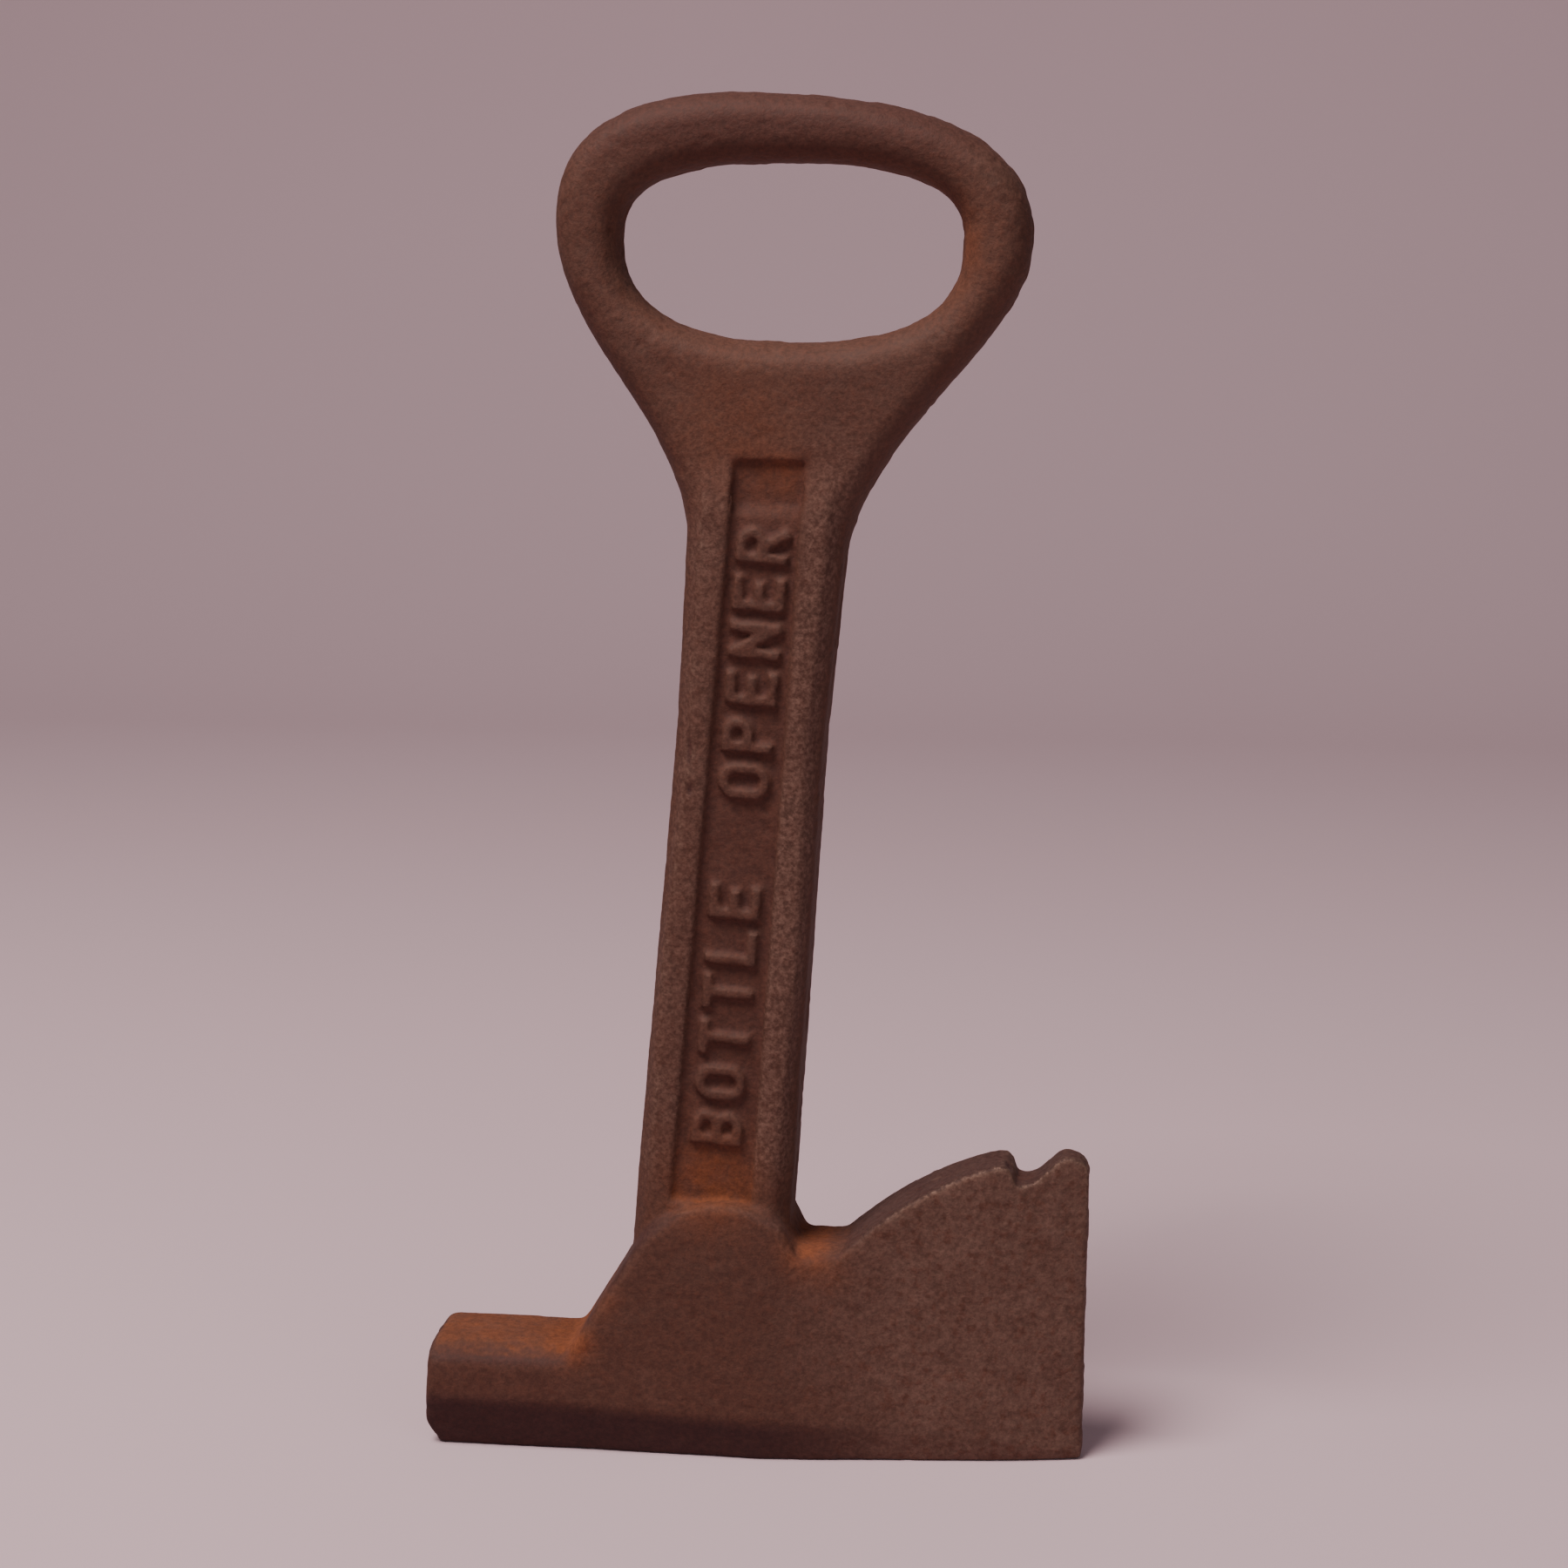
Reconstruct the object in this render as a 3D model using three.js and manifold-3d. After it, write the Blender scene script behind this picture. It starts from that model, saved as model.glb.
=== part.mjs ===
// Hatchet-shaped bottle opener, a single iron casting that stands on the flat top of its
// hatchet head with the opening ring uppermost. Millimetres, +Z up, the ring and the head in
// the XZ plane, the blade towards +X and the lettered face towards -Y.
import * as THREE from 'three';
import { mergeVertices } from 'three/addons/utils/BufferGeometryUtils.js';
import { ParametricGeometry } from 'three/addons/geometries/ParametricGeometry.js';
import Module from 'manifold-3d';

// Driving dimensions.
const overallHeight = 153.0;
const headLength = 75.7;

// Shaft: its axis leaves the base at this distance from the poll's end and leans to the blade.
const shaftFoot = 30.9;
const lean = THREE.MathUtils.degToRad(4.6);
const shaftHalfWidth = { foot: 8.9, waist: 8.2, neck: 8.65 };
const shaftWaistShare = 0.75;
const shaftThickness = 10.6;
const shaftFacet = { deep: 2.3, wide: 1.8 };
const shaftRoot = 12;
const shaftRunOut = { start: 6, end: 15 };
const shaftEndLap = 1;
const clearance = 0.001;

// Opening ring and the shoulder that carries it.
const openingHalfWidth = 18.6;
const openingRise = 0.452 * openingHalfWidth;
const openingDrop = 0.575 * openingHalfWidth;
const openingShift = 0.05;
const openingTilt = THREE.MathUtils.degToRad(4);
const openingSquareness = { above: 2.65, below: 2.45 };
const ringWidth = 7.4;
const crownBar = 7.3;
const ringThickness = 9.0;
const ringFlat = 0.6;
const ringRoundingShare = 0.395;
const crownSquareness = 2.5;
const ringOverOpening = 1.0;
const ringFullness = { left: 0.71 * openingHalfWidth, right: 0.52 * openingHalfWidth };
const shoulderHeight = 1.3065 * openingHalfWidth;
const shoulderFullness = 0.785 * openingHalfWidth;
const ringEndLap = 9;

// Sunk panel on the lettered face, and its raised letters.
const panelDepth = 0.95;
const panelDraft = 0.3;
const panelHalfWidth = { top: 3.55, foot: 4.5 };
const panelWeb = 13.0;
const panelFoot = 30.2;
const letterEnd = 6.2;
const letterRise = 0.7;
const letterSink = 0.3;
const letterHeight = 5.7;
const letterStroke = 1.05;
const strokeOverlap = 0.98;
const letterGap = 1.35;
const wordGapCells = 1.6;
const words = ['BOTTLE', 'OPENER'];

// Head: places along X are measured from the poll's end.
const headThickness = 14.0;
const headEdge = 0.9;
const pollHeight = 12.7;
const pollFlat = 4.0;
const pollBevel = 1.9;
const pollSetback = 0.3;
const pollCorner = 1.5;
const pollFootChamfer = { along: 1.3, up: 2.8 };
const cheekFoot = { x: 16.9, z: 12.2 };
const cheekRun = { near: 3.6, far: 8 };
const domeRadius = 11.8;
const domeHeight = 30.35;
const domeShift = 34.6;
const domeEnd = THREE.MathUtils.degToRad(55);
const valleyHeight = 23.75;
const valleyWidth = 1.9;
const valleyShift = 45.4;
const ledgeHeight = 25.1;
const ledgeHalfWidth = 3.8;
const ledgeReach = { back: 8.5, front: 3.4, down: 6 };

// Blade: places along X are measured back from the cutting edge.
const bladeHeight = 35.05;
const bladeBulge = 3.25;
const bladeRoot = 1.4;
const bladeRakeFoot = 0.3;
const edgeThickness = 2.6;
const lobe = { rise: 0.9, corner: 0.8, round: 0.4 };
const notchDepth = 2.2;
const notchNear = 2.6;
const notchFar = 8.6;
const notchFloor = 0.5;
const notchLip = { back: 0.7, end: 1.7, drop: 0.6 };

// Cross-sections of the blade's taper: distance back from the cutting edge, share of the full
// thickness, and the height and half width of the bevel under the face.
const taper = [
  { back: 37, share: 1.01, bevel: 5.4, foot: 5.7 },
  { back: 30, share: 0.86, bevel: 4.7, foot: 5.2 },
  { back: 24, share: 0.7, bevel: 4.1, foot: 4.5 },
  { back: 17, share: 0.55, bevel: 3.3, foot: 3.8 },
  { back: 10, share: 0.4, bevel: 2.4, foot: 3.0 },
  { back: 4, share: 0.2, bevel: 1.4, foot: 2.0 },
  { back: -1, share: 0, bevel: 0.7, foot: 1.0 },
];
const pollSection = { share: 1.04, bevel: 6.9, foot: 5.2 };
const cheekSection = { share: 1.04, bevel: 6.2, foot: 5.5 };

// Smoothness of the faceted curves.
const crownSteps = 26;
const openingSteps = 22;
const shoulderSteps = 12;
const ringRoundingSteps = 5;
const bowlSteps = 5;
const outlineSteps = 8;
const edgeSteps = 2;

const wasm = await Module();
wasm.setup();

const pollEnd = -headLength / 2;
const cuttingEdge = headLength / 2;
const shaftBase = pollEnd + shaftFoot;
const margin = 10;
const point = (x, y) => new THREE.Vector2(x, y);

// Turns a closed three.js geometry into a solid that can be joined and cut.
function solid(geometry) {
  const bare = new THREE.BufferGeometry();
  bare.setAttribute('position', geometry.getAttribute('position').clone());
  bare.setIndex(geometry.getIndex());
  const merged = mergeVertices(bare, 1e-4);
  const index = merged.getIndex().array;
  const triangles = [];
  for (let i = 0; i < index.length; i += 3) {
    const [a, b, c] = [index[i], index[i + 1], index[i + 2]];
    if (a !== b && b !== c && c !== a) triangles.push(a, b, c);
  }
  return new wasm.Manifold(new wasm.Mesh({
    numProp: 3,
    vertProperties: new Float32Array(merged.getAttribute('position').array),
    triVerts: new Uint32Array(triangles),
  }));
}

// A plate drawn in the XY plane and stood upright about Y = 0, its edges drawn in by rounding.
function plate(shape, thickness, rounding, steps, curveSegments = outlineSteps) {
  return new THREE.ExtrudeGeometry(shape, {
    depth: thickness - 2 * rounding.deep,
    bevelEnabled: true,
    bevelThickness: rounding.deep,
    bevelSize: rounding.wide,
    bevelOffset: -rounding.wide,
    bevelSegments: steps,
    curveSegments,
  }).translate(0, 0, rounding.deep - thickness / 2).rotateX(Math.PI / 2);
}

// A bar along X between two places, with its cross-section drawn in Y and Z.
function barAlongX(section, from, to) {
  return solid(new THREE.ExtrudeGeometry(section, { depth: to - from, bevelEnabled: false })
    .rotateX(Math.PI / 2).rotateZ(Math.PI / 2).translate(from, 0, 0));
}

// Moves a geometry of the shaft's own frame, X across it and Z along it, onto the leaning axis.
function onShaft(geometry) {
  return geometry.rotateY(lean).translate(shaftBase, 0, 0);
}

// Half of a superellipse from the right-hand side over its top or its bottom.
function halfOval(halfWidth, rise, squareness, steps, centre, direction) {
  const points = [];
  for (let i = 0; i <= steps; i += 1) {
    const angle = (Math.PI * i) / steps;
    const c = Math.cos(angle);
    const s = Math.sin(angle);
    const across = Math.sign(c) * Math.abs(c) ** (2 / squareness) * halfWidth;
    const up = Math.abs(s) ** (2 / squareness) * rise * direction;
    points.push(point(across, centre + up));
  }
  return points;
}

// Heights along the shaft's axis, worked down from the ring's highest point.
const ringHalfWidth = openingHalfWidth + ringWidth;
const ringCentreDrop = crownBar + openingRise - ringOverOpening;
const crownCurve = halfOval(ringHalfWidth, ringCentreDrop, crownSquareness, crownSteps, 0, 1);
const crownLift = Math.max(...crownCurve.map((p) => p.y * Math.cos(lean) - p.x * Math.sin(lean)));
const ringCentre = (overallHeight - crownLift) / Math.cos(lean);
const openingCentre = ringCentre - ringOverOpening;
const openingFoot = openingCentre - openingDrop;
const neck = openingFoot - shoulderHeight;
const panelTop = openingFoot - panelWeb;
const shaftWaist = THREE.MathUtils.lerp(panelFoot, neck, shaftWaistShare);

// Shaft half width at a height along its axis: narrowest at the waist.
function halfWidthAt(along) {
  const toFoot = THREE.MathUtils.smoothstep(shaftWaist - along, 0, shaftWaist - panelFoot);
  const toNeck = THREE.MathUtils.smoothstep(along, shaftWaist, neck);
  return shaftHalfWidth.waist + (shaftHalfWidth.foot - shaftHalfWidth.waist) * toFoot
    + (shaftHalfWidth.neck - shaftHalfWidth.waist) * toNeck;
}

// Ring and shoulder: one plate with fully rounded edges, run down into the shaft.
function makeRing() {
  const neckHalf = halfWidthAt(neck);
  const shoulder = (side, fullness) => new THREE.CubicBezierCurve(
    point(side * ringHalfWidth, ringCentre),
    point(side * ringHalfWidth, ringCentre - fullness),
    point(side * neckHalf, neck + shoulderFullness),
    point(side * neckHalf, neck),
  ).getPoints(shoulderSteps).slice(1);
  const shape = new THREE.Shape([
    ...crownCurve.map((p) => point(p.x, p.y + ringCentre)),
    ...shoulder(-1, ringFullness.left),
    point(-neckHalf, neck - ringEndLap),
    point(neckHalf, neck - ringEndLap),
    ...shoulder(1, ringFullness.right).reverse(),
  ]);
  const above = halfOval(
    openingHalfWidth, openingRise, openingSquareness.above, openingSteps, openingCentre, 1,
  );
  const below = halfOval(
    openingHalfWidth, openingDrop, openingSquareness.below, openingSteps, openingCentre, -1,
  );
  const opening = [...above, ...below.reverse().slice(1, -1)];
  const middle = point(0, openingCentre);
  opening.forEach((p) => p.rotateAround(middle, openingTilt).setX(p.x + openingShift));
  shape.holes.push(new THREE.Path(opening));
  const rounding = { deep: (ringThickness - ringFlat) / 2, wide: ringRoundingShare * ringWidth };
  return solid(onShaft(plate(shape, ringThickness, rounding, ringRoundingSteps)));
}

// Shaft: a faceted bar, thinned where it runs out into the shoulder.
function makeShaft() {
  const end = neck + shaftRunOut.end;
  const middle = (panelFoot + shaftWaist) / 2;
  const stations = [shaftRoot, panelFoot, middle, shaftWaist, neck, end + shaftEndLap];
  const right = stations.map((v) => point(halfWidthAt(v), v));
  const left = [...right].reverse().map((p) => point(-p.x, p.y));
  const bar = solid(onShaft(plate(new THREE.Shape([...right, ...left]), shaftThickness, shaftFacet, 1)));
  const thin = ringThickness / 2 - ringFlat;
  const half = shaftThickness / 2 + clearance;
  const profile = new THREE.Shape([
    point(-half, shaftRoot - margin),
    point(half, shaftRoot - margin),
    point(half, neck + shaftRunOut.start),
    point(thin, end),
    point(-thin, end),
    point(-half, neck + shaftRunOut.start),
  ]);
  const width = 2 * (shaftHalfWidth.foot + margin);
  const runOut = new THREE.ExtrudeGeometry(profile, { depth: width, bevelEnabled: false })
    .translate(0, 0, -width / 2).rotateX(Math.PI / 2).rotateZ(Math.PI / 2);
  return bar.intersect(solid(onShaft(runOut)));
}

// Sunk panel: a tapering rectangle with drafted walls, open to the front.
function makePanelCutter() {
  const shape = new THREE.Shape([
    point(-panelHalfWidth.foot, panelFoot),
    point(panelHalfWidth.foot, panelFoot),
    point(panelHalfWidth.top, panelTop),
    point(-panelHalfWidth.top, panelTop),
  ]);
  const cutter = new THREE.ExtrudeGeometry(shape, {
    depth: margin,
    bevelEnabled: true,
    bevelThickness: panelDepth,
    bevelSize: panelDraft,
    bevelSegments: 1,
  });
  return solid(onShaft(cutter.translate(0, 0, shaftThickness / 2).rotateX(Math.PI / 2)));
}

// Letters as bars and bowls on a grid two units high: bars by their ends, bowls by centre,
// radius and the angles they run between.
const stem = { from: [0, 0], to: [0, 2] };
const upperBowl = [
  { from: [0, 1], to: [0.55, 1] },
  { from: [0, 2], to: [0.55, 2] },
  { centre: [0.55, 1.5], radius: 0.5, start: -90, end: 90 },
];
const lowerBowl = [
  { from: [0, 0], to: [0.55, 0] },
  { centre: [0.55, 0.5], radius: 0.5, start: -90, end: 90 },
];
const letterUnits = 1.1;
const letters = {
  B: [stem, ...upperBowl, ...lowerBowl],
  E: [
    stem,
    { from: [0, 0], to: [1.05, 0] },
    { from: [0, 1], to: [0.85, 1] },
    { from: [0, 2], to: [1.05, 2] },
  ],
  L: [stem, { from: [0, 0], to: [1.05, 0] }],
  N: [stem, { from: [0, 2], to: [1.1, 0] }, { from: [1.1, 0], to: [1.1, 2] }],
  O: [
    { from: [0, 0.55], to: [0, 1.45] },
    { from: [1.1, 0.55], to: [1.1, 1.45] },
    { centre: [0.55, 1.45], radius: 0.55, start: 0, end: 180 },
    { centre: [0.55, 0.55], radius: 0.55, start: 180, end: 360 },
  ],
  P: [stem, ...upperBowl],
  R: [stem, ...upperBowl, { from: [0.45, 1], to: [1.05, 0] }],
  T: [{ from: [0, 2], to: [1.1, 2] }, { from: [0.55, 0], to: [0.55, 2] }],
};

// One bar or bowl of a letter, drawn flat with its lower face at z = 0.
function strokeGeometry(stroke, scale) {
  const deep = letterRise + letterSink;
  const half = letterStroke / 2;
  if (stroke.centre) {
    const centre = point(...stroke.centre).multiply(scale);
    const start = THREE.MathUtils.degToRad(stroke.start);
    const end = THREE.MathUtils.degToRad(stroke.end);
    const radius = scale.clone().multiplyScalar(stroke.radius);
    const shape = new THREE.Shape();
    shape.absellipse(centre.x, centre.y, radius.x + half, radius.y + half, start, end, false, 0);
    shape.absellipse(centre.x, centre.y, radius.x - half, radius.y - half, end, start, true, 0);
    return new THREE.ExtrudeGeometry(shape, { depth: deep, bevelEnabled: false, curveSegments: bowlSteps });
  }
  const from = point(...stroke.from).multiply(scale);
  const span = point(...stroke.to).multiply(scale).sub(from);
  return new THREE.BoxGeometry(span.length() + letterStroke * strokeOverlap, letterStroke, deep)
    .rotateZ(span.angle())
    .translate(from.x + span.x / 2, from.y + span.y / 2, deep / 2);
}

// Raised letters, read upwards along the shaft, spread over the length of the panel.
function makeLetters() {
  const count = words.join('').length;
  const cell = (panelTop - panelFoot - 2 * letterEnd) / (count + (words.length - 1) * wordGapCells);
  const scale = point((cell - letterGap - letterStroke) / letterUnits, (letterHeight - letterStroke) / 2);
  const floor = shaftThickness / 2 - panelDepth;
  const strokes = [];
  let along = panelFoot + letterEnd + (letterGap + letterStroke) / 2;
  for (const word of words) {
    for (const letter of word) {
      for (const stroke of letters[letter]) {
        const geometry = strokeGeometry(stroke, scale)
          .translate(along, -scale.y, 0)
          .rotateZ(Math.PI / 2)
          .translate(0, 0, floor - letterSink)
          .rotateX(Math.PI / 2);
        strokes.push(solid(onShaft(geometry)));
      }
      along += cell;
    }
    along += cell * wordGapCells;
  }
  return strokes.reduce((all, stroke) => all.add(stroke));
}

// Outline of the head seen from the front: poll, cheek with its dome, valley and blade.
function headOutline() {
  const domeCentre = point(pollEnd + domeShift, domeHeight - domeRadius);
  const foot = point(pollEnd + cheekFoot.x, cheekFoot.z);
  const toDome = domeCentre.clone().sub(foot);
  const tangent = toDome.angle() + Math.asin(domeRadius / toDome.length());
  const valley = point(pollEnd + valleyShift, valleyHeight);
  const corner = point(pollEnd + pollSetback, pollHeight);
  const lobeTop = bladeHeight + lobe.rise;
  const notchTop = cuttingEdge - notchNear;
  const notchEnd = cuttingEdge - notchFar;
  const notchBottom = bladeHeight - notchDepth;
  const curveStart = point(notchEnd - notchLip.end, bladeHeight);
  const curveEnd = point(valley.x + bladeRoot, valley.y);
  const bulge = curveStart.clone().add(curveEnd).multiplyScalar(0.5).add(point(0, bladeBulge));
  const shape = new THREE.Shape();
  shape.moveTo(pollEnd + pollFootChamfer.along, 0);
  shape.lineTo(cuttingEdge - bladeRakeFoot, 0);
  shape.lineTo(cuttingEdge, bladeHeight - lobe.corner);
  shape.quadraticCurveTo(cuttingEdge - lobe.round, lobeTop, notchTop, lobeTop);
  shape.bezierCurveTo(
    notchTop - notchNear / 2, lobeTop,
    notchTop - notchNear, notchBottom,
    notchEnd + notchNear / 2, notchBottom,
  );
  shape.lineTo(notchEnd + notchFloor, notchBottom);
  shape.lineTo(notchEnd, bladeHeight - notchLip.drop);
  shape.lineTo(notchEnd - notchLip.back, bladeHeight);
  shape.lineTo(curveStart.x, curveStart.y);
  shape.quadraticCurveTo(bulge.x, bulge.y, curveEnd.x, curveEnd.y);
  shape.lineTo(valley.x - valleyWidth, valley.y);
  shape.absarc(domeCentre.x, domeCentre.y, domeRadius, domeEnd, tangent + Math.PI / 2, false);
  shape.lineTo(foot.x, foot.y);
  shape.quadraticCurveTo(foot.x - cheekRun.near, pollHeight, foot.x - cheekRun.far, pollHeight);
  shape.lineTo(corner.x + pollCorner, corner.y);
  shape.quadraticCurveTo(corner.x, corner.y, corner.x, corner.y - pollCorner);
  shape.lineTo(pollEnd, pollFootChamfer.up);
  return shape;
}

// Head thickness: bevelled along the base and drawn in to a thin cutting edge.
function makeHeadWedge() {
  const tall = bladeHeight + margin;
  const stations = [
    { x: pollEnd - margin, ...pollSection },
    { x: pollEnd + cheekFoot.x, ...pollSection },
    { x: shaftBase, ...cheekSection },
    ...taper.map((section) => ({ x: cuttingEdge - section.back, ...section })),
  ];
  const corners = ({ share, bevel, foot }) => {
    const half = THREE.MathUtils.lerp(edgeThickness, headThickness, share) / 2;
    return [[foot, 0], [half, bevel], [half, tall], [-half, tall], [-half, bevel], [-foot, 0]];
  };
  const sides = corners(pollSection).length;
  const rows = stations.length + 1;
  const place = (around, along, target) => {
    const row = Math.round(along * rows);
    const station = stations[THREE.MathUtils.clamp(row - 1, 0, stations.length - 1)];
    const capped = row === 0 || row === rows;
    const [y, z] = capped ? [0, tall / 2] : corners(station)[Math.round(around * sides) % sides];
    target.set(station.x, y, z);
  };
  return solid(new ParametricGeometry(place, sides, rows));
}

// Web that fills the corner between the shaft and the blade.
function makeLedge() {
  const half = headThickness / 2;
  const section = new THREE.Shape([
    point(-half, valleyHeight - ledgeReach.down),
    point(half, valleyHeight - ledgeReach.down),
    point(half, valleyHeight),
    point(ledgeHalfWidth, ledgeHeight),
    point(-ledgeHalfWidth, ledgeHeight),
    point(-half, valleyHeight),
  ]);
  const centre = pollEnd + valleyShift;
  return barAlongX(section, centre - ledgeReach.back, centre + ledgeReach.front);
}

// The two bevels along the top of the poll, as far as the foot of the cheek.
function makePollBevels() {
  const half = headThickness / 2;
  const outside = half + margin;
  const low = pollHeight - (pollBevel * (outside - pollFlat)) / (half - pollFlat);
  const [left, right] = [-1, 1].map((side) => barAlongX(new THREE.Shape([
    point(side * pollFlat, pollHeight),
    point(side * outside, low),
    point(side * outside, pollHeight + margin),
    point(side * pollFlat, pollHeight + margin),
  ]), pollEnd - margin, pollEnd + cheekFoot.x));
  return left.add(right);
}

const edge = { deep: headEdge, wide: headEdge };
const head = solid(plate(headOutline(), headThickness, edge, edgeSteps))
  .add(makeLedge())
  .intersect(makeHeadWedge())
  .subtract(makePollBevels());
const casting = makeShaft().add(makeRing()).subtract(makePanelCutter()).add(makeLetters()).add(head);

const result = casting.getMesh();
const geometry = new THREE.BufferGeometry();
geometry.setAttribute('position', new THREE.BufferAttribute(new Float32Array(result.vertProperties), 3));
geometry.setIndex(new THREE.BufferAttribute(new Uint32Array(result.triVerts), 1));
geometry.computeVertexNormals();

const rustedIron = new THREE.MeshStandardMaterial({ color: 0x5a3c32, roughness: 0.78, metalness: 0.35 });
const opener = new THREE.Mesh(geometry, rustedIron);
opener.name = 'opener_casting';

const group = new THREE.Group();
group.add(opener);

export default group;
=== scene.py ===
"""Looks of the hatchet-shaped bottle opener: a sand-cast skin and a rusted iron finish around
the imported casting, with a pale studio stage. Metres, +Z up, the lettered face towards -Y."""

import math

import bmesh
import bpy
import numpy as np
from bpy.props import FloatProperty, FloatVectorProperty, IntProperty, PointerProperty
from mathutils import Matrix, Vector


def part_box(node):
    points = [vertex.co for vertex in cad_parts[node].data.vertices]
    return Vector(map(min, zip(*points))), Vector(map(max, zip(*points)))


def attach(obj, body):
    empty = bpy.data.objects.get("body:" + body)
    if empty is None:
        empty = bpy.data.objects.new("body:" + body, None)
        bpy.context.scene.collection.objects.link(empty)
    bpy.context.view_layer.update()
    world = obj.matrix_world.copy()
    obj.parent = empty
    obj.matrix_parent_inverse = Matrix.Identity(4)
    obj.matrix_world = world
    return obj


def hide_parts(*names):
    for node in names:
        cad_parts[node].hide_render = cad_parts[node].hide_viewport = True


bl_info = {
    "name": "Cast hatchet opener",
    "version": (1, 0, 0),
    "blender": (4, 5, 0),
    "location": "View3D > Sidebar > Opener",
    "description": "Casts the opener's skin, rusts it and sets its stage",
    "category": "Object",
}

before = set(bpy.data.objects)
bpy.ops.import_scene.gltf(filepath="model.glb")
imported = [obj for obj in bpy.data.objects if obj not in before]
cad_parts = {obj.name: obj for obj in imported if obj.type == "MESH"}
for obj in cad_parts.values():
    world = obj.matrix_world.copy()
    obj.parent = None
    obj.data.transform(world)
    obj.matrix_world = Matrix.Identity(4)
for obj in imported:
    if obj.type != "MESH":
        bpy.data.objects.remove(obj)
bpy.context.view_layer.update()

MM = 0.001
CASTING = "opener_casting"
LOW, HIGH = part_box(CASTING)
HEIGHT = HIGH.z - LOW.z

# Places on the casting, in millimetres from the poll's end along X and from the base along Z.
SHAFT_FOOT = 30.9
SHAFT_LEAN = math.radians(4.6)
PANEL_HALF_WIDTH = 4.3
PANEL_FOOT = 29.0
PANEL_TOP = 115.0
LETTER_FACE = -3.5
HORN_TOP = 40.0
OPENING_X, OPENING_Z = 41.3, 136.4
OPENING_HALF_WIDTH, OPENING_HALF_HEIGHT = 18.2, 9.6

# Zones of the casting. Each fades in from the first place to the second, in millimetres: along
# is from the poll's end, up from the base, across from the shaft's axis, and face is along Y.
ZONES = {
    "letters across": (PANEL_HALF_WIDTH + 1, PANEL_HALF_WIDTH),
    "notch along": (62, 65),
    "notch up": (24, 28),
    "smooth poll along": (22, 16),
    "smooth poll up": (7, 9.5),
    "smooth dome along": (16, 20),
    "smooth dome end": (52, 47),
    "smooth dome up": (12, 16),
    "smooth dome top": (33, 29),
    "recess across": (PANEL_HALF_WIDTH, PANEL_HALF_WIDTH - 0.9),
    "recess foot": (107.5, 109.5),
    "recess top": (PANEL_TOP - 0.9, PANEL_TOP - 1.7),
    "panel across": (PANEL_HALF_WIDTH + 0.5, PANEL_HALF_WIDTH - 0.3),
    "panel foot": (PANEL_FOOT, PANEL_FOOT + 3),
    "panel top": (PANEL_TOP + 1, PANEL_TOP - 1),
    "sunk face": (-5.15, -4.55),
    "front face": (0, -2),
    "blade along": (38, 58),
    "blade up": (42, 36),
    "head up": (32, 26),
    "poll along": (20, 15),
    "ring up": (118, 123),
    "crown up": (143, 150),
    # The band is the painted shade along the foot.
    "band edge": (0.9, -1.4),
    "band end": (58, 36),
    "rim foot": (30, 36),
    "rim top": (122, 104),
    "rim face": (-3.2, -4.4),
    # The left rim and the blade crest take painted highlights.
    "left rim": (-4.8, -5.8),
    "right rim": (3, 5),
    "blade crest": (24, 30),
    # Where the floor darkens into the backdrop as painted shade.
    "far floor": (50, 550),
}

# Fades by how far a face looks up, or forward for the recess: the upward or forward part of its
# normal.
FACINGS = {
    "recess": (0.5, 0.8),
    "poll top": (0.72, 0.95),
    # The slope, blade top and poll front facings place painted shade; the ledge facing places
    # painted light.
    "slope": (0.2, 0.5),
    "slope top": (0.93, 0.75),
    "blade top": (0.3, 0.75),
    "poll front": (0.5, 0.2),
    "ledge": (0.2, 0.7),
}

# Other fades, by how strong a mottle or a mark is. Where there are four numbers, the last two
# are what the fade starts and ends with.
FADES = {
    "pit": (0.42, 0.12),
    "pit patches": (-0.04, 0.12),
    "fin side": (0.55, 0.2),
    "fin patches": (-0.06, 0.1),
    "inside ring": (1.5, 1.05),
    "ring rust": (0.1, 0.9, 0.05, 0.3),
    "rust clouds": (0.35, 0.68),
    "blade grey": (0.2, 0.7, 0.35, 1.0),
    "other grey": (0.5, 0.75),
    "freckles": (0.52, 0.7),
    "handled": (0.3, 0.75),
    "rust patches": (0.25, 0.6, 0.55, 1.15),
    "standing rust": (0.5, 0.95),
    "band patches": (0.2, 0.55, 0.7, 1.0),
    "rubbed_and_highlit": (0.34, 0.62),
    "speck shade": (0.25, 0.75, 0.74, 1.25),
    "cloud shade": (0.3, 0.7, 1.07, 0.93),
}

# Painted shade along the foot of the head, a dark band on the downward lower bevel: its length,
# and its height at the poll and at its end.
BAND_LENGTH = 50.0
BAND_HEIGHTS = (6.6, 4.4)

# Smoothing: how far a vertex moves to its neighbours' mean in one round, and the dome's share of
# the rounds that the poll gets.
SMOOTHING = 0.5
DOME_WEAR = 0.45

# Marks read from how the skin bends, for rust and painted shade in hollows and for wear and
# painted highlights on ridges: rounds of smoothing, hollow (1) or raised (-1), and the bend in
# millimetres at which the mark starts and is full.
BENDS = {
    "hollow": (14, 1, 0.02, 0.16),
    "corner": (90, 1, 0.08, 0.55),
    "ridge": (14, -1, 0.05, 0.22),
}

# The skin's pattern moves by SEED_STEP metres for each seed. Pits and the parting line come in
# patches of these shares of a wave, and FIN_CREST is the share of the line's width at full height.
SEED_STEP = 0.1
PIT_PATCH = 0.6
FIN_PATCH = 0.45
FIN_CREST = 0.08

# Mottling of the finish: size in millimetres, detail, roughness and which part of the noise.
MOTTLES = {
    "cloud": (7.0, 3, 0.6, 1.0),
    "blotch": (2.2, 4, 0.6, 2.0),
    "speck": (0.55, 3, 0.7, 3.0),
    "freckle": (1.1, 2, 0.5, 4.0),
}

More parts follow.
